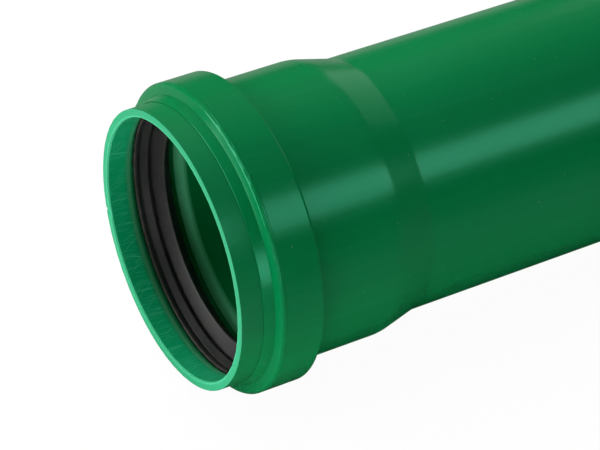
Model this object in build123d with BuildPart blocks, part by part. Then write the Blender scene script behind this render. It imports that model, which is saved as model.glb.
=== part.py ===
from build123d import *
import os
from math import atan, cos, radians, sin, tan

# Extruded pipe
pipe_radius = 55.0
pipe_wall = 3.8
laying_length = 500.0
spigot_chamfer_length = 6.0
spigot_chamfer_angle = 15.0

# Socket formed on one end, its stations measured from the mouth
socket_play = 0.7
socket_depth = 73.5
taper_length = 17.5
taper_shoulder_round = 30.0
mouth_edge_break = 0.3

# Seal groove rolled into the socket, open to its inside
groove_front = 10.7
groove_rear = 34.6
groove_depth = 4.35
groove_front_angle = 43.0
groove_rear_angle = 59.0
groove_mouth_round = 6.9

# Outside of the same bead: a shallow ramp, a steep flank, a flat top and a rear shoulder
ramp_start = 10.3
ramp_end = 13.9
ramp_rise = 1.2
bead_front_angle = 49.0
bead_rear_start = 31.9
bead_rear_angle = 44.0

# Support ring clipped over the bead
collar_wall = 2.0
collar_rear = 33.2
collar_clearance = 0.15
lip_setback = 0.6
lip_edge_height = 0.35
lip_foot_height = 2.0
collar_face_lean = 1.1
collar_edge_break = 0.5

# Rubber lip seal lying in the groove
seal_clearance = 0.1
seal_base_thickness = 1.65
nose_setback = 2.75
nose_width = 1.9
nose_depth = 2.95
rib_setback = 6.1
rib_width = 2.9
rib_depth = 2.95
notch_slope = 0.4
notch_gap = 1.3
lip_interference = 4.2
lip_lean = 2.75
lip_tip_thickness = 0.95
lip_root_thickness = 3.1
seal_rear_gap = 1.2
nose_edge_break = 0.5

# Radii and stations that follow from the sizes above
bore_radius = pipe_radius - pipe_wall
socket_bore = pipe_radius + socket_play
socket_radius = socket_bore + pipe_wall
groove_floor = socket_bore + groove_depth
bead_radius = groove_floor + pipe_wall
collar_bore = bead_radius + collar_clearance
collar_radius = collar_bore + collar_wall
lip_free_radius = pipe_radius - lip_interference
pipe_length = socket_depth + laying_length
taper_end = socket_depth + taper_length
spigot_end_radius = pipe_radius - spigot_chamfer_length * tan(radians(spigot_chamfer_angle))
groove_floor_front = groove_front + groove_depth / tan(radians(groove_front_angle))
groove_floor_rear = groove_rear - groove_depth / tan(radians(groove_rear_angle))
ramp_radius = socket_radius + ramp_rise
bead_top_start = ramp_end + (bead_radius - ramp_radius) / tan(radians(bead_front_angle))
bead_foot = bead_rear_start + (bead_radius - socket_radius) / tan(radians(bead_rear_angle))

# The pipe lies on the collar's rear edge and on the spigot, so its axis dips a little to the rear.
# The origin is under the middle of its length, on the floor.
spigot_rest = pipe_length - spigot_chamfer_length
dip = atan((collar_radius - pipe_radius) / (spigot_rest - collar_rear))
mouth_y = -(pipe_length * cos(dip) + (spigot_end_radius - socket_radius + mouth_edge_break) * sin(dip)) / 2
mouth_z = collar_rear * sin(dip) + collar_radius * cos(dip)

# Sections are drawn with X as the distance from the mouth and Y as the radius
section_plane = Plane(
    origin=(0, mouth_y, mouth_z), x_dir=(0, cos(dip), -sin(dip)), z_dir=(1, 0, 0)
)
pipe_axis = Axis(section_plane.origin, section_plane.x_dir)


def outline_corners(section, points):
    return [section.vertices().sort_by_distance(point)[0] for point in points]


def round_corners(section, corners):
    # Each corner is a point of the outline with its radius
    for point, radius in corners:
        fillet(outline_corners(section, [point]), radius)


# Pipe with its formed socket
groove_foot_front = (groove_front, socket_bore)
groove_top_front = (groove_floor_front, groove_floor)
groove_top_rear = (groove_floor_rear, groove_floor)
groove_foot_rear = (groove_rear, socket_bore)
bead_ramp_foot = (ramp_start, socket_radius)
bead_ramp_top = (ramp_end, ramp_radius)
bead_top_front = (bead_top_start, bead_radius)
bead_top_rear = (bead_rear_start, bead_radius)
bead_foot_rear = (bead_foot, socket_radius)
inner_shoulder = (socket_depth, socket_bore)
outer_shoulder = (socket_depth, socket_radius)

with BuildPart() as pipe:
    with BuildSketch(section_plane) as pipe_section:
        with BuildLine():
            Polyline(
                (0, socket_bore),
                groove_foot_front,
                groove_top_front,
                groove_top_rear,
                groove_foot_rear,
                inner_shoulder,
                (taper_end, bore_radius),
                (pipe_length, bore_radius),
                (pipe_length, spigot_end_radius),
                (spigot_rest, pipe_radius),
                (taper_end, pipe_radius),
                outer_shoulder,
                bead_foot_rear,
                bead_top_rear,
                bead_top_front,
                bead_ramp_top,
                bead_ramp_foot,
                (0, socket_radius),
                close=True,
            )
        make_face()
        mouth_corners = outline_corners(pipe_section, [(0, socket_bore), (0, socket_radius)])
        chamfer(mouth_corners, mouth_edge_break)
        round_corners(
            pipe_section,
            [
                (groove_foot_front, groove_mouth_round),
                (inner_shoulder, taper_shoulder_round),
                (outer_shoulder, taper_shoulder_round + pipe_wall),
            ],
        )
    revolve(axis=pipe_axis)

# Support ring, its inside parallel to the bead
collar_lip_front = ramp_start - lip_setback
collar_foot = (ramp_end, socket_radius + lip_foot_height)
collar_edge = (ramp_end + collar_face_lean, collar_radius)
collar_rear_drop = (collar_rear - bead_rear_start) * tan(radians(bead_rear_angle))

with BuildPart() as collar_ring:
    with BuildSketch(section_plane) as collar_section:
        with BuildLine():
            Polyline(
                (collar_lip_front, socket_radius + collar_clearance),
                (ramp_start, socket_radius + collar_clearance),
                (ramp_end, ramp_radius + collar_clearance),
                (bead_top_start, collar_bore),
                (bead_rear_start, collar_bore),
                (collar_rear, collar_bore - collar_rear_drop),
                (collar_rear, collar_radius),
                collar_edge,
                collar_foot,
                (collar_lip_front, socket_radius + collar_clearance + lip_edge_height),
                close=True,
            )
        make_face()
        chamfer(outline_corners(collar_section, [collar_edge]), collar_edge_break)
    revolve(axis=pipe_axis)

# Lip seal: nose against the groove's front flank, a flat rib, then the long lip that leans to the rear
seal_back = groove_floor - seal_clearance
seal_base = seal_back - seal_base_thickness
nose_front = groove_front + nose_setback
nose_radius = seal_back - nose_depth
rib_front = groove_front + rib_setback
rib_rear = rib_front + rib_width
rib_radius = seal_back - rib_depth
lip_front = rib_rear + notch_gap + notch_slope
seal_rear = groove_floor_rear - seal_rear_gap
nose_tip = (nose_front + notch_slope, nose_radius)
nose_heel = (nose_front + nose_width, nose_radius)

with BuildPart() as lip_seal:
    with BuildSketch(section_plane) as seal_section:
        with BuildLine():
            Polyline(
                (groove_floor_front + notch_slope, seal_back),
                (nose_front, seal_base - notch_slope),
                nose_tip,
                nose_heel,
                (nose_front + nose_width + notch_slope, seal_base),
                (rib_front - notch_slope, seal_base),
                (rib_front, rib_radius),
                (rib_rear, rib_radius),
                (rib_rear + notch_slope, seal_base),
                (lip_front - notch_slope, seal_base),
                (lip_front, rib_radius),
                (lip_front + lip_lean, lip_free_radius),
                (lip_front + lip_lean + lip_tip_thickness, lip_free_radius),
                (lip_front + lip_root_thickness, seal_base),
                (seal_rear, seal_base),
                (seal_rear, seal_back),
                close=True,
            )
        make_face()
        chamfer(outline_corners(seal_section, [nose_tip, nose_heel]), nose_edge_break)
    revolve(axis=pipe_axis)

pipe.part.label = "pipe"
collar_ring.part.label = "collar_ring"
lip_seal.part.label = "lip_seal"

os.makedirs("parts", exist_ok=True)
export_step(pipe.part, "parts/pipe.step")
export_step(collar_ring.part, "parts/collar_ring.step")
export_step(lip_seal.part, "parts/lip_seal.step")
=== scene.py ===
from math import atan, cos, degrees, pi, radians, sin, tan

import bpy
from mathutils import Matrix, Vector


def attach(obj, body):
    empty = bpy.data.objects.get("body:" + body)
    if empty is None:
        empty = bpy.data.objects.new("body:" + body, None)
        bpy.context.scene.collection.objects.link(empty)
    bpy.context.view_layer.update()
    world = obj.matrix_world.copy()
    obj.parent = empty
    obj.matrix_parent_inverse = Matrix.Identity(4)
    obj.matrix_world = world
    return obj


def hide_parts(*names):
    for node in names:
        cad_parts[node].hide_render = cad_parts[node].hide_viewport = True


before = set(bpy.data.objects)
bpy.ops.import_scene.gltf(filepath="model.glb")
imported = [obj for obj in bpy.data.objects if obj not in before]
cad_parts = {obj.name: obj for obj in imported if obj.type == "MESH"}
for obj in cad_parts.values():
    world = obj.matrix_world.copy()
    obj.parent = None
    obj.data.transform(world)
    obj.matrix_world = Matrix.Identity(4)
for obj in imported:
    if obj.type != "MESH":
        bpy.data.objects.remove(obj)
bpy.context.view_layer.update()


# Lay of the pipe, metres: distances along it are taken from the mouth
lay = {
    "pipeRadius": 0.055,
    "wall": 0.0038,
    "length": 0.5735,
    "chamferLength": 0.006,
    "chamferAngle": 15.0,
    "collarRadius": 0.066,
    "collarRear": 0.0332,
    "socketBore": 0.0557,
    "mouthBreak": 0.0003,
}
socketRadius = lay["socketBore"] + lay["wall"]
spigotRest = lay["length"] - lay["chamferLength"]
spigotEndRadius = lay["pipeRadius"] - lay["chamferLength"] * tan(radians(lay["chamferAngle"]))

# The pipe lies on its collar's rear edge and its spigot, so its axis dips
dip = atan((lay["collarRadius"] - lay["pipeRadius"]) / (spigotRest - lay["collarRear"]))
along = Vector((0, cos(dip), -sin(dip)))
upward = Vector((0, sin(dip), cos(dip)))
across = Vector((1, 0, 0))
endStep = spigotEndRadius - socketRadius + lay["mouthBreak"]
mouthY = -(lay["length"] * cos(dip) + endStep * sin(dip)) / 2
mouthZ = lay["collarRear"] * sin(dip) + lay["collarRadius"] * cos(dip)
mouth = Vector((0, mouthY, mouthZ))


def sectionPoint(distance, radius):
    return mouth + along * distance + upward * radius


def ringPoint(distance, radius, angle):
    # Angles are taken from the top, towards +X
    turned = upward * cos(radians(angle)) + across * sin(radians(angle))
    return mouth + along * distance + turned * radius


def measures(co):
    # Distance from the mouth and from the axis
    distance = (co - mouth).dot(along)
    return distance, (co - mouth - along * distance).length


def tangentLength(radius, angle):
    # How far a rounding of this radius starts from its corner
    return radius * tan(radians(angle) / 2)


# Turned shapes: an outline is drawn point by point, its corners are rounded, and it is spun
turning = {
    "steps": 360,
    "roundSegments": 6,
    "mergeDistance": 0.000002,
    "pickDistance": 0.00001,
    "startSize": 0.001,
    "smoothAngle": 28.0,
    "normalWeight": 50,
}


def pickPiece(piece):
    bpy.ops.object.select_all(action="DESELECT")
    bpy.context.view_layer.objects.active = piece
    piece.select_set(True)


def selectVertices(piece, wanted):
    bpy.ops.mesh.select_mode(type="VERT")
    bpy.ops.mesh.select_all(action="DESELECT")
    bpy.ops.object.mode_set(mode="OBJECT")
    toWorld = piece.matrix_world
    for vertex in piece.data.vertices:
        vertex.select = wanted(toWorld @ vertex.co)
    bpy.ops.object.mode_set(mode="EDIT")


def startMesh(name, place):
    # One vertex, merged from a small plane
    bpy.ops.object.select_all(action="DESELECT")
    bpy.ops.mesh.primitive_plane_add(size=turning["startSize"], location=place)
    piece = bpy.context.object
    piece.name = name
    bpy.ops.object.mode_set(mode="EDIT")
    bpy.ops.mesh.select_all(action="SELECT")
    bpy.ops.mesh.merge(type="CENTER")
    return piece


def drawOutline(name, corners):
    # Each corner is its distance, its radius and its rounding
    places = [sectionPoint(distance, radius) for distance, radius, rounding in corners]
    piece = startMesh(name, places[0])
    for before, after in zip(places, places[1:]):
        bpy.ops.mesh.extrude_region_move(TRANSFORM_OT_translate={"value": after - before})
    bpy.ops.mesh.select_all(action="SELECT")
    bpy.ops.mesh.edge_face_add()
    for place, corner in zip(places, corners):
        if corner[2]:
            roundCorner(piece, place, corner[2])
    return piece


def roundCorner(piece, place, rounding):
    selectVertices(piece, lambda co: (co - place).length < turning["pickDistance"])
    bpy.ops.mesh.bevel(
        offset_type="OFFSET",
        offset=rounding,
        segments=turning["roundSegments"],
        affect="VERTICES",
    )


def spinOutline(piece):
    bpy.ops.mesh.select_all(action="SELECT")
    bpy.ops.mesh.delete(type="ONLY_FACE")
    bpy.ops.mesh.select_all(action="SELECT")
    bpy.ops.mesh.spin(steps=turning["steps"], angle=2 * pi, center=mouth, axis=along)
    bpy.ops.mesh.select_all(action="SELECT")
    bpy.ops.mesh.remove_doubles(threshold=turning["mergeDistance"])
    bpy.ops.mesh.normals_make_consistent(inside=False)
    bpy.ops.object.mode_set(mode="OBJECT")
    bpy.ops.object.transform_apply(location=True, rotation=True, scale=True)
    bpy.ops.object.shade_smooth_by_angle(angle=radians(turning["smoothAngle"]))
    print(piece.name, "turned,", len(piece.data.polygons), "faces")


def applyModifier(piece, kind, settings):
    pickPiece(piece)
    bpy.ops.object.modifier_add(type=kind)
    modifier = piece.modifiers[-1]
    for name, value in settings.items():
        setattr(modifier, name, value)
    bpy.ops.object.modifier_apply(modifier=modifier.name)


def finishNormals(piece):
    # Wide faces keep their own direction beside small rounds
    settings = {"mode": "FACE_AREA", "weight": turning["normalWeight"], "keep_sharp": True}
    applyModifier(piece, "WEIGHTED_NORMAL", settings)


def ruffle(piece, name, wanted, size, height, level=0.5, direction="NORMAL"):
    # Uneven edge: noise moves only the wanted vertices
    group = piece.vertex_groups.new(name=name)
    chosen = [vertex.index for vertex in piece.data.vertices if wanted(*measures(vertex.co))]
    group.add(chosen, 1.0, "REPLACE")
    texture = bpy.data.textures.new(name, "CLOUDS")
    texture.noise_scale = size
    texture.noise_depth = 3
    settings = {
        "texture": texture,
        "texture_coords": "LOCAL",
        "direction": direction,
        "vertex_group": name,
        "strength": height,
        "mid_level": level,
    }
    applyModifier(piece, "DISPLACE", settings)
    piece.vertex_groups.clear()


def nick(piece, place, reach, push):
    # A small dent: the vertices near a place are pushed in
    pickPiece(piece)
    bpy.ops.object.mode_set(mode="EDIT")
    selectVertices(piece, lambda co: (co - place).length < reach)
    bpy.ops.transform.translate(value=push)
    bpy.ops.object.mode_set(mode="OBJECT")


# Pipe with its formed socket
pipeForm = {
    "socketDepth": 0.0735,
    "taperLength": 0.0175,
    "shoulderRound": 0.020,
    "footRound": 0.0009,
    "grooveFront": 0.0107,
    "grooveRear": 0.0346,
    "grooveDepth": 0.00435,
    "grooveFrontAngle": 43.0,
    "grooveRearAngle": 59.0,
    "grooveMouthRound": 0.0069,
    "grooveRearRound": 0.006,
    "rampStart": 0.0103,
    "rampEnd": 0.0139,
    "rampRise": 0.0012,
    "beadFrontAngle": 49.0,
    "beadRearStart": 0.0319,
    "beadRearAngle": 44.0,
    "beadRound": 0.0006,
    "mouthBevel": 0.0004,
    "mouthBevelLength": 0.0009,
    "bevelFrontRound": 0.0001,
    "bevelRearRound": 0.0002,
    "cutReach": 0.0004,  # the sawn end is uneven this far back
    "cutRuffle": {"size": 0.0016, "height": 0.00022, "level": 0.85},
    "nicks": [(252.5, "inner"), (254.0, "outer"), (113.0, "inner")],
    "nickInset": 0.0002,
    "nickReach": 0.0006,
    "nickDepth": 0.0003,
}
grooveFloor = lay["socketBore"] + pipeForm["grooveDepth"]
beadRadius = grooveFloor + lay["wall"]
beadFrontSlope = tan(radians(pipeForm["beadFrontAngle"]))
rampRadius = socketRadius + pipeForm["rampRise"]
beadTopStart = pipeForm["rampEnd"] + (beadRadius - rampRadius) / beadFrontSlope


def pipeOutline(form):
    bore = lay["socketBore"]
    boreRadius = lay["pipeRadius"] - lay["wall"]
    frontSlope = tan(radians(form["grooveFrontAngle"]))
    rearSlope = tan(radians(form["grooveRearAngle"]))
    floorFront = form["grooveFront"] + form["grooveDepth"] / frontSlope
    floorRear = form["grooveRear"] - form["grooveDepth"] / rearSlope
    beadRearSlope = tan(radians(form["beadRearAngle"]))
    beadFoot = form["beadRearStart"] + (beadRadius - socketRadius) / beadRearSlope
    taperEnd = form["socketDepth"] + form["taperLength"]
    taperAngle = degrees(atan((bore - boreRadius) / form["taperLength"]))
    grooveMouth = tangentLength(form["grooveMouthRound"], form["grooveFrontAngle"])
    grooveBack = tangentLength(form["grooveRearRound"], form["grooveRearAngle"])
    shoulder = tangentLength(form["shoulderRound"], taperAngle)
    inside = [
        (0, bore + form["mouthBevel"], form["bevelFrontRound"]),
        (form["mouthBevelLength"], bore, form["bevelRearRound"]),
        (form["grooveFront"], bore, grooveMouth),
        (floorFront, grooveFloor, 0),
        (floorRear, grooveFloor, 0),
        (form["grooveRear"], bore, grooveBack),
        (form["socketDepth"], bore, shoulder),
        (taperEnd, boreRadius, form["footRound"]),
        (lay["length"], boreRadius, 0),
    ]
    outside = [
        (lay["length"], spigotEndRadius, 0),
        (spigotRest, lay["pipeRadius"], 0),
        (taperEnd, lay["pipeRadius"], form["footRound"]),
        (form["socketDepth"], socketRadius, shoulder),
        (beadFoot, socketRadius, form["beadRound"]),
        (form["beadRearStart"], beadRadius, form["beadRound"]),
        (beadTopStart, beadRadius, form["beadRound"]),
        (form["rampEnd"], rampRadius, 0),
        (form["rampStart"], socketRadius, 0),
        (0, socketRadius, lay["mouthBreak"]),
    ]
    return inside + outside


def makePipe():
    form = pipeForm
    piece = drawOutline("pipeWithSocket", pipeOutline(form))
    spinOutline(piece)

    def onCut(distance, radius):
        return distance < form["cutReach"]

    ruffle(piece, "cutEdges", onCut, **form["cutRuffle"])
    inset = form["nickInset"]
    edges = {"inner": lay["socketBore"] + form["mouthBevel"], "outer": socketRadius - inset}
    for angle, edge in form["nicks"]:
        place = ringPoint(inset, edges[edge], angle)
        outwards = (place - ringPoint(inset, 0, angle)).normalized()
        side = outwards if edge == "inner" else -outwards
        nick(piece, place, form["nickReach"], (side + along) * form["nickDepth"])
    finishNormals(piece)
    return piece


pipePiece = makePipe()
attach(pipePiece, "root")
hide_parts("pipe")


# Collar clipped over the bead, with its thin conical lip in front
collarForm = {
    "lipEdge": 0.0097,
    "lipEdgeOuter": 0.0600,
    "lipRound": 0.0003,
    "faceFoot": 0.0139,
    "faceFootRadius": 0.0615,
    "faceTop": 0.0150,
    # The trimmed edge: distance behind the face's top, depth below the outside, rounding
    "trimmedEdge": [
        (0.0011, 0, 0),
        (0.0007, 0.00002, 0.00022),
        (0.00032, 0.00030, 0.0001),
        (0.00034, 0.00040, 0),
        (-0.00008, 0.00072, 0.00016),
        (-0.00025, 0.0013, 0),
    ],
    "rearRound": 0.0003,
    "clearance": 0.00015,
    "rearBore": 0.062745,
    "seamLine": 0.0166,
    "seamWidth": 0.0003,
    "seamDepth": 0.00012,
    "seamMargin": 0.0001,
    "seamRuffle": {"size": 0.009, "height": 0.0007, "direction": "Y"},
    "burrLength": 0.0009,
    "burrDepth": 0.0010,
    "burrRuffle": {"size": 0.003, "height": 0.00048, "level": 0.8},
}


def collarOutline(form):
    gap, outer = form["clearance"], lay["collarRadius"]
    seam, seamRear = form["seamLine"], form["seamLine"] + form["seamWidth"]
    inside = [
        (form["lipEdge"], socketRadius + gap, 0),
        (pipeForm["rampStart"], socketRadius + gap, 0),
        (pipeForm["rampEnd"], rampRadius + gap, 0),
        (beadTopStart, beadRadius + gap, 0),
        (pipeForm["beadRearStart"], beadRadius + gap, 0),
        (lay["collarRear"], form["rearBore"], 0),
    ]
    outside = [
        (lay["collarRear"], outer, form["rearRound"]),
        (seamRear, outer, 0),
        (seam + form["seamWidth"] / 2, outer - form["seamDepth"], 0),
        (seam, outer, 0),
    ]
    edge = [
        (form["faceTop"] + behind, outer - depth, rounding)
        for behind, depth, rounding in form["trimmedEdge"]
    ]
    face = [
        (form["faceFoot"], form["faceFootRadius"], 0),
        (form["lipEdge"], form["lipEdgeOuter"], form["lipRound"]),
    ]
    return inside + outside + edge + face


def makeCollar():
    form = collarForm
    piece = drawOutline("supportCollar", collarOutline(form))
    spinOutline(piece)
    burrRear = form["faceTop"] + form["burrLength"]
    burrFoot = lay["collarRadius"] - form["burrDepth"]
    seamFront = form["seamLine"] - form["seamMargin"]
    seamRear = form["seamLine"] + form["seamWidth"] + form["seamMargin"]

    def onBurr(distance, radius):
        return distance < burrRear and radius > burrFoot

    def onSeam(distance, radius):
        return seamFront < distance < seamRear and radius > burrFoot

    ruffle(piece, "burr", onBurr, **form["burrRuffle"])
    ruffle(piece, "seam", onSeam, **form["seamRuffle"])
    finishNormals(piece)
    return piece


collarPiece = makeCollar()
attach(collarPiece, "root")
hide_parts("collar_ring")


# Rubber seal in the groove; its corners are distance, radius and rounding
sealForm = {
    "base": [(0.015765, 0.05995, 0.0003)],
    "nose": [
        (0.01345, 0.0579, 0.0004),
        (0.01385, 0.0570, 0.0005),
        (0.01535, 0.0570, 0.0005),
        (0.01575, 0.0583, 0.0002),
    ],
    "rib": [
        (0.0164, 0.0583, 0.0002),
        (0.0167, 0.0577, 0.0003),
        (0.0197, 0.0561, 0.0005),
        (0.0201, 0.0583, 0.0003),
    ],
    "lip": [
        (0.0210, 0.0583, 0.0003),
        (0.0214, 0.0570, 0.0005),
        (0.02415, 0.0508, 0.0004),
        (0.0251, 0.0508, 0.0004),
        (0.0245, 0.0583, 0.0006),
    ],
    "heel": [(0.030786, 0.0583, 0.0004), (0.030786, 0.05995, 0.0003)],
}


def makeSeal():
    piece = drawOutline("lipSeal", [corner for part in sealForm.values() for corner in part])
    spinOutline(piece)
    finishNormals(piece)
    return piece


sealPiece = makeSeal()
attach(sealPiece, "root")
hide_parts("lip_seal")


# Shader graph: a wire wraps a socket, so that shader maths reads as an expression
class Wire:
    def __init__(self, graph, node, socket):
        self.graph = graph
        self.node = node
        self.socket = socket

    def out(self, name):
        return Wire(self.graph, self.node, self.node.outputs[name])

    def maths(self, operation, *values):
        return self.graph.add("Math", {"operation": operation}, dict(enumerate(values)))

    def __add__(self, other):
        return self.maths("ADD", self, other)

    def __sub__(self, other):
        return self.maths("SUBTRACT", self, other)

    def __mul__(self, other):
        return self.maths("MULTIPLY", self, other)

    def __pow__(self, other):
        return self.maths("POWER", self, other)

    def __gt__(self, other):
        return self.maths("GREATER_THAN", self, other)

    def __lt__(self, other):
        return self.maths("LESS_THAN", self, other)

    def __radd__(self, other):
        return self.maths("ADD", other, self)

    def __rsub__(self, other):
        return self.maths("SUBTRACT", other, self)

    def __rmul__(self, other):
        return self.maths("MULTIPLY", other, self)


class Graph:
    def __init__(self, owner):
        owner.use_nodes = True
        self.tree = owner.node_tree
        self.tree.nodes.clear()

    def add(self, kind, settings, values):
        node = self.tree.nodes.new("ShaderNode" + kind)
        for name, value in settings.items():
            setattr(node, name, value)
        for name, value in values.items():
            if isinstance(value, Wire):
                self.tree.links.new(value.socket, node.inputs[name])
            else:
                node.inputs[name].default_value = value
        shown = [output for output in node.outputs if output.enabled]
        return Wire(self, node, shown[0] if shown else None)

    def mix(self, factor, first, second):
        values = {0: factor, 6: first, 7: second}
        return self.add("Mix", {"data_type": "RGBA"}, values).out("Result")

    def noise(self, place, scale, detail=2.0, roughness=0.5):
        values = {"Vector": place, "Scale": scale, "Detail": detail, "Roughness": roughness}
        return self.add("TexNoise", {}, values)

    def ramp(self, value, low, high, shadeLow=0.0, shadeHigh=1.0):
        values = {"Value": value, 1: low, 2: high, 3: shadeLow, 4: shadeHigh}
        return self.add("MapRange", {"clamp": True}, values).out("Result")

    def band(self, value, stops):
        # Rises over the first two stops and falls over the last two
        start, full, fade, end = stops
        return self.ramp(value, start, full) * self.ramp(value, fade, end, 1.0, 0.0)

    def pipePlace(self):
        # The pipe's own frame: y runs along it from the mouth
        objectPlace = self.add("TexCoord", {}, {}).out("Object")
        values = {"Vector": objectPlace, "Location": mouth, "Rotation": (-dip, 0, 0)}
        return self.add("Mapping", {"vector_type": "TEXTURE"}, values)

    def pipeMeasures(self, place):
        # Distance from the mouth and from the axis
        parts = self.add("SeparateXYZ", {}, {"Vector": place})
        x, y, z = parts.out("X"), parts.out("Y"), parts.out("Z")
        return y, (x * x + z * z) ** 0.5

    def stretch(self, place, scale):
        return self.add("Mapping", {}, {"Vector": place, "Scale": scale})

    def twist(self, place, turn, scale):
        # Streaks along the pipe that lean by a turn for each metre
        distance = self.add("SeparateXYZ", {}, {"Vector": place}).out("Y")
        values = {"Vector": place, "Angle": distance * turn}
        turned = self.add("VectorRotate", {"rotation_type": "Y_AXIS"}, values)
        return self.stretch(turned, scale)

    def bump(self, height, strength, distance, normal=None):
        values = {"Height": height, "Strength": strength, "Distance": distance}
        if normal:
            values["Normal"] = normal
        return self.add("Bump", {}, values)


def newMaterial(name):
    material = bpy.data.materials.new(name)
    return material, Graph(material)


def finishMaterial(graph, look):
    shader = graph.add("BsdfPrincipled", {}, look)
    graph.add("OutputMaterial", {}, {"Surface": shader})


# Green plastic of the pipe and collar
plastic = {
    "color": (0.0003, 0.158, 0.043, 1),
    "deepColor": (0.0002, 0.140, 0.036, 1),
    "speckColor": (0.120, 0.230, 0.150, 1),
    "gloss": (0.19, 1.0, 0.70, 1),
    "ior": 1.49,
    "roughness": 0.22,
    "grainRoughness": 0.22,
    "lineRoughness": 0.08,
    "cloudScale": 14.0,
    "lineScale": (420, 3, 420),
    "toneStops": (0.35, 0.65),
    "speckScale": 620.0,
    "speckStops": (0.78, 0.80),
    "speckShare": 0.5,
    "grainScale": 1700.0,
    "peelScale": 420.0,
    "bumpStrength": 0.6,
    "grain": 0.00005,
}


def makePlastic(name, addWearAndPaintedLight):
    material, graph = newMaterial(name)
    place = graph.pipePlace()

    # Body colour with a slow cloudiness, faint extrusion lines and pale specks
    cloud = graph.noise(place, plastic["cloudScale"], 3.0)
    lines = graph.noise(graph.stretch(place, plastic["lineScale"]), 1.0, 3.0)
    tone = graph.ramp(cloud * 0.6 + lines * 0.4, *plastic["toneStops"])
    color = graph.mix(tone, plastic["deepColor"], plastic["color"])
    specks = graph.ramp(graph.noise(place, plastic["speckScale"], 1.0), *plastic["speckStops"])
    color = graph.mix(specks * plastic["speckShare"], color, plastic["speckColor"])

    # Fine grain and a faint orange peel in the gloss
    grain = graph.noise(place, plastic["grainScale"], 3.0, 0.6)
    peel = graph.noise(place, plastic["peelScale"], 2.0)
    grainPart = (grain - 0.5) * plastic["grainRoughness"]
    linePart = (lines - 0.5) * plastic["lineRoughness"]
    height = grain * 0.8 + peel * 0.35 + lines * 0.25

    look = {
        "Base Color": color,
        "Roughness": plastic["roughness"] + grainPart + linePart,
        "Normal": graph.bump(height, plastic["bumpStrength"], plastic["grain"]),
        "IOR": plastic["ior"],
        "Specular Tint": plastic["gloss"],
    }
    addWearAndPaintedLight(graph, place, cloud, look)
    finishMaterial(graph, look)
    return material


# The pipe's sawn end, scratched guide wall painted lighter for bounce light, painted reflections
# on the groove's edges, and scuffed mouth
mouthWearAndPaintedLight = {
    "freshCutColor": (0.014, 0.245, 0.108, 1),
    "cutRimColor": (0.045, 0.390, 0.195, 1),
    "guideBounceLightColor": (0.001, 0.250, 0.095, 1),
    # The guide wall's colour is lighter than the body's: painted bounce light
    "scratchColor": (0.050, 0.420, 0.230, 1),
    "grooveEdgeSheenColor": (0.085, 0.400, 0.190, 1),
    "cutDepth": 0.00022,
    "bevelDepth": 0.0007,  # the pale cut reaches this much further on the inner bevel
    "bevelRadius": 0.0585,
    "turningMarks": 5200,
    "chatterScale": 900.0,
    "rimStart": 0.0006,  # the palest rim ends between these, from the bore
    "rimEnd": 0.0013,
    "guideRadius": 0.0586,
    "guideStops": (0.0118, 0.0150),
    # Scratches: turn for each metre, scale, noise roughness, threshold
    "scratches": [
        (1.5, (2600, 60, 2600), 0.6, (0.56, 0.66)),
        (-9.0, (1900, 90, 1900), 0.6, (0.60, 0.68)),
        (5.0, (700, 40, 700), 0.5, (0.70, 0.73)),
    ],
    "scratchShare": 0.6,
    # Painted reflections on the groove's edges: the radius they stay under, and where each band
    # rises and falls
    "grooveEdgeSheenRadius": 0.0588,
    "frontEdgeSheen": (0.0086, 0.0100, 0.0108, 0.0120),
    "rearEdgeSheen": (0.0315, 0.0335, 0.0352, 0.0378),
    "scuffedEnd": 0.0104,
    "scuffedRadius": 0.0590,
    "wearBump": 0.00003,
}


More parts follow.
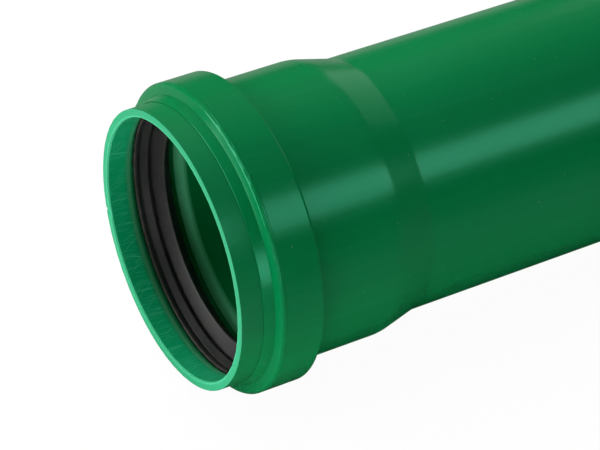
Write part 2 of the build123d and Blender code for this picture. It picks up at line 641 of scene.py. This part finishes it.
# Real wear on the pipe together with painted light: the lighter guide wall and the reflections
# on the groove's edges
def pipeWearAndPaintedLight(graph, place, cloud, look):
    wearAndLight = mouthWearAndPaintedLight
    distance, radius = graph.pipeMeasures(place)
    color, roughness = look["Base Color"], look["Roughness"]

    # Sawn end face: pale, with turning marks and chatter, and palest at its inner rim
    endFace = distance < wearAndLight["cutDepth"] + (radius < wearAndLight["bevelRadius"]) * wearAndLight["bevelDepth"]
    ringPlace = graph.add("CombineXYZ", {}, {"X": radius * wearAndLight["turningMarks"], "Y": distance})
    marks = graph.noise(ringPlace, 1.0, 2.0)
    chatter = graph.noise(place, wearAndLight["chatterScale"], 3.0, 0.65)
    rimStart, rimEnd = lay["socketBore"] + wearAndLight["rimStart"], lay["socketBore"] + wearAndLight["rimEnd"]
    rim = graph.ramp(radius, rimStart, rimEnd, 1.0, 0.0)
    cutTone = graph.ramp(rim * 0.7 + (marks * 0.5 + chatter * 0.5 - 0.5) * 1.3, 0.0, 1.0)
    sawn = graph.mix(cutTone, wearAndLight["freshCutColor"], wearAndLight["cutRimColor"])

    # Guide wall: painted lighter and bluer for the bounce light inside the mouth, with many fine
    # scratches nearly along the pipe
    inside = (radius < wearAndLight["guideRadius"]) * graph.ramp(distance, *wearAndLight["guideStops"], 1.0, 0.0)
    scratch = 0
    for turn, scale, noiseRoughness, stops in wearAndLight["scratches"]:
        streaks = graph.noise(graph.twist(place, turn, scale), 1.0, 2.0, noiseRoughness)
        scratch = scratch + graph.ramp(streaks, *stops)
    worn = inside * graph.ramp(scratch, 0.0, 1.0) * (1 - endFace)
    # Painted bounce light: the inner wall near the mouth takes a lighter colour
    color = graph.mix(inside, color, wearAndLight["guideBounceLightColor"])
    color = graph.mix(worn * wearAndLight["scratchShare"], color, wearAndLight["scratchColor"])

    # The groove's front and rear edges get painted reflections, a paler olive band at each
    # rounded edge; the mouth's outside is scuffed
    frontEdgeSheen = graph.band(distance, wearAndLight["frontEdgeSheen"])
    rearEdgeSheen = graph.band(distance, wearAndLight["rearEdgeSheen"])
    grooveEdgeSheen = (radius < wearAndLight["grooveEdgeSheenRadius"]) * (frontEdgeSheen * 1.25 + rearEdgeSheen * 2.0)
    color = graph.mix(grooveEdgeSheen * (0.25 + cloud * 0.6), color, wearAndLight["grooveEdgeSheenColor"])
    scuffed = (distance < wearAndLight["scuffedEnd"]) * (radius > wearAndLight["scuffedRadius"])

    roughness = roughness + scuffed * 0.12 + grooveEdgeSheen * 0.15
    look["Roughness"] = roughness + inside * 0.10 + worn * 0.14 + endFace * 0.30
    look["Base Color"] = graph.mix(endFace, color, sawn)
    height = inside * scratch * 0.5 + endFace * (marks * 0.8 + chatter)
    look["Normal"] = graph.bump(height, 0.7, wearAndLight["wearBump"], look["Normal"])


# The collar's trimmed front face, a little smoother
collarWear = {
    "trimmedColor": (0.0003, 0.165, 0.048, 1),
    "trimmedEnd": 0.0151,
    "trimmedRadius": 0.0617,
    "trimmedSmoothness": 0.05,
}


def wearCollar(graph, place, cloud, look):
    distance, radius = graph.pipeMeasures(place)
    trimmed = (distance < collarWear["trimmedEnd"]) * (radius > collarWear["trimmedRadius"])
    look["Base Color"] = graph.mix(trimmed, look["Base Color"], collarWear["trimmedColor"])
    look["Roughness"] = look["Roughness"] - trimmed * collarWear["trimmedSmoothness"]


pipePiece.data.materials.append(makePlastic("pipePlastic", pipeWearAndPaintedLight))
collarPiece.data.materials.append(makePlastic("collarPlastic", wearCollar))


# Black rubber of the seal, dusty, with a brownish line at its nose's front edge that is painted
# highlight with dust in it
rubber = {
    "color": (0.0135, 0.0132, 0.0140, 1),
    "dustColor": (0.026, 0.024, 0.022, 1),
    "noseDustAndHighlightColor": (0.075, 0.058, 0.046, 1),
    "roughness": 0.44,
    "dustRoughness": 0.16,
    "shine": 0.38,
    "dustScale": 260.0,
    "fineScale": 2200.0,
    "dustStops": (0.42, 0.66),
    "noseDustAndHighlightLine": (0.01400, 0.01375),
    "noseDustAndHighlightStops": (0.36, 0.56),
    "bump": 0.00002,
}


def makeRubber(name):
    material, graph = newMaterial(name)
    place = graph.pipePlace()
    distance = graph.pipeMeasures(place)[0]
    dust = graph.noise(place, rubber["dustScale"], 4.0, 0.65)
    fine = graph.noise(place, rubber["fineScale"], 3.0, 0.6)
    patches = dust * 0.6 + fine * 0.4
    dusty = graph.ramp(patches, *rubber["dustStops"])
    # Painted highlight at the nose's front edge, broken up by the dust patches
    nose = graph.ramp(distance, *rubber["noseDustAndHighlightLine"]) * graph.ramp(patches, *rubber["noseDustAndHighlightStops"])
    color = graph.mix(dusty, rubber["color"], rubber["dustColor"])
    look = {
        "Base Color": graph.mix(nose, color, rubber["noseDustAndHighlightColor"]),
        "Roughness": rubber["roughness"] + dusty * rubber["dustRoughness"],
        "Normal": graph.bump(fine + dust * 0.5, 0.7, rubber["bump"]),
        "Specular IOR Level": rubber["shine"],
    }
    finishMaterial(graph, look)
    return material


sealPiece.data.materials.append(makeRubber("sealRubber"))
print("materials ready")


# Camera at the photograph's angle; the mouth's centre is this far right, down and ahead
shot = {
    "azimuth": 59.9,
    "elevation": 38.0,
    "focalPixels": 2793.6,
    "widthPixels": 600,
    "sensorWidth": 36,
    "clipStart": 0.01,
    "mouthRight": -0.05246,
    "mouthDown": 0.01045,
    "mouthAhead": 1.12475,
}


def makeCamera():
    azimuth, elevation = radians(shot["azimuth"]), radians(shot["elevation"])
    level = cos(elevation)
    back = Vector((sin(azimuth) * level, -cos(azimuth) * level, sin(elevation)))
    right = Vector((cos(azimuth), sin(azimuth), 0))
    up = back.cross(right)
    data = bpy.data.cameras.new("photoCamera")
    data.sensor_width = shot["sensorWidth"]
    data.lens = shot["focalPixels"] / shot["widthPixels"] * data.sensor_width
    data.clip_start = shot["clipStart"]
    camera = bpy.data.objects.new("photoCamera", data)
    bpy.context.collection.objects.link(camera)
    aside = mouth - right * shot["mouthRight"] + up * shot["mouthDown"]
    camera.location = aside + back * shot["mouthAhead"]
    camera.rotation_euler = back.to_track_quat("Z", "Y").to_euler()
    bpy.context.scene.camera = camera
    return camera


camera = makeCamera()
print("camera at", tuple(round(value, 4) for value in camera.location))


# Studio: a white floor that keeps a soft shadow, and softboxes that light, are mirrored, or both
studio = {
    "floorSize": 12.0,
    "floorGlow": 0.97,
    "floorShade": 0.92,
    "floorSheen": 0.1,
    "ambient": 0.07,
    "glossyAmbient": 0.03,
    "middle": 0.10,  # the lights aim this far behind the mouth
    "floorGap": 0.003,  # of the softboxes that lie on the floor
}
softboxes = {
    "key": {"size": (1.2, 1.2), "radiance": 5.6, "way": (-0.32, -0.91, 0.26), "away": 1.5},
    "top": {"size": (2.4, 2.4), "radiance": 1.7, "shift": (-0.4, 0.2, 1.5)},
    "back": {"size": (2.2, 1.2), "radiance": 3.1, "way": (-0.80, 0.12, 0.58), "away": 1.8},
    "table": {"size": (1.0, 0.36), "radiance": 0.95, "x": 0.26},
    "card": {"size": (0.36, 0.24), "radiance": 1.9, "x": 0.03, "ahead": 0.015},
    "fill": {"size": (0.7, 0.34), "radiance": 1.4, "way": (0.52, -0.84, 0.11), "away": 0.95},
    "behind": {"size": (1.8, 0.7), "radiance": 0.13, "x": -0.10, "y": 0.35},
    "wall": {"size": (3.4, 1.8), "radiance": 0.6, "place": (-2.0, 2.5, 1.4)},
    "side": {"size": (0.4, 0.5), "radiance": 4.5, "x": 1.25, "ahead": 0.32},
    "strip": {"size": (1.2, 0.50), "radiance": 3.4, "along": 1.0, "away": 1.30},
}


def makeFloor():
    bpy.ops.object.select_all(action="DESELECT")
    bpy.ops.mesh.primitive_plane_add(size=studio["floorSize"], location=(0, 0, 0))
    floor = bpy.context.object
    floor.name = "studioFloor"
    material, graph = newMaterial("floorWhite")
    path = graph.add("LightPath", {}, {})
    light, dull = studio["floorShade"], studio["floorSheen"]
    color = graph.mix(path.out("Is Glossy Ray"), (light, light, light, 1), (dull, dull, dull, 1))
    paint = graph.add("BsdfDiffuse", {}, {"Color": color})
    glow = graph.add("Emission", {}, {"Color": (1, 1, 1, 1), "Strength": 1.0})
    seen = path.out("Is Camera Ray") * studio["floorGlow"]
    mixed = graph.add("MixShader", {}, {0: seen, 1: paint, 2: glow})
    graph.add("OutputMaterial", {}, {"Surface": mixed})
    floor.data.materials.append(material)


def makeWorld():
    world = bpy.data.worlds.new("studioWorld")
    bpy.context.scene.world = world
    graph = Graph(world)
    path = graph.add("LightPath", {}, {})
    seen, glossy = path.out("Is Camera Ray"), path.out("Is Glossy Ray")
    room = glossy * studio["glossyAmbient"] + (1 - glossy) * studio["ambient"]
    strength = seen + (1 - seen) * room
    sky = graph.add("Background", {}, {"Color": (1, 1, 1, 1), "Strength": strength})
    graph.add("OutputWorld", {}, {"Surface": sky})


def addLight(name, place, facing, side, lit=True, mirrored=False):
    # It shines towards facing, and its length runs along side
    length, width = softboxes[name]["size"]
    data = bpy.data.lights.new(name, "AREA")
    data.shape = "RECTANGLE"
    data.size = length
    data.size_y = width
    data.energy = softboxes[name]["radiance"] * pi * length * width
    light = bpy.data.objects.new(name, data)
    bpy.context.collection.objects.link(light)
    back = -facing.normalized()
    sideways = back.cross(side).normalized()
    lengthwise = sideways.cross(back)
    turn = Matrix((lengthwise, sideways, back)).transposed()
    light.matrix_world = Matrix.Translation(place) @ turn.to_4x4()
    light.visible_camera = False
    light.visible_diffuse = lit
    light.visible_glossy = mirrored


def addSwungLight(name, centre, side, mirrored=False):
    # A light that stands off in a direction from what it aims at
    way = Vector(softboxes[name]["way"]).normalized()
    addLight(name, centre + way * softboxes[name]["away"], -way, side, mirrored=mirrored)


def makeLights():
    middle = sectionPoint(studio["middle"], 0)
    up = Vector((0, 0, 1))
    low = studio["floorGap"]
    table, card, behind = softboxes["table"], softboxes["card"], softboxes["behind"]
    wall, side, strip = softboxes["wall"], softboxes["side"], softboxes["strip"]

    # Key at the mouth's far side, soft top and back
    addSwungLight("key", middle, across, mirrored=True)
    shift = Vector(softboxes["top"]["shift"])
    addLight("top", middle + shift, -shift, along)
    addSwungLight("back", middle, along)

    # Light table beside the pipe, and a card on the floor before the mouth
    addLight("table", Vector((table["x"], middle.y, low)), up, along)
    cardY = mouth.y - card["ahead"] - card["size"][1] / 2
    addLight("card", Vector((card["x"], cardY, low)), up, across)

    # Low fill in front, and a dim card behind the pipe that only its upper edges mirror
    addSwungLight("fill", mouth, across, mirrored=True)
    behindPlace = Vector((behind["x"] - behind["size"][1] / 2, behind["y"], low))
    addLight("behind", behindPlace, up, along, lit=False, mirrored=True)

    # Pale wall far behind, mirrored by the taper, and a panel at the side for lip and burr
    addLight("wall", Vector(wall["place"]), Vector((0, -1, 0)), across, lit=False, mirrored=True)
    sidePlace = Vector((side["x"], mouth.y - side["ahead"], side["size"][1] / 2))
    sideFacing = (mouth - sidePlace) * Vector((1, 1, 0))
    addLight("side", sidePlace, sideFacing, Vector((0, 1, 0)), lit=False, mirrored=True)

    # Long softbox whose reflection runs along the pipe's side that faces the camera
    toCamera = camera.location - mouth
    facing = (toCamera - along * toCamera.dot(along)).normalized()
    stripPlace = mouth + along * strip["along"] + facing * strip["away"]
    addLight("strip", stripPlace, -facing, along, lit=False, mirrored=True)


makeFloor()
makeWorld()
makeLights()
bpy.context.scene.view_settings.view_transform = "Standard"
print("studio ready")
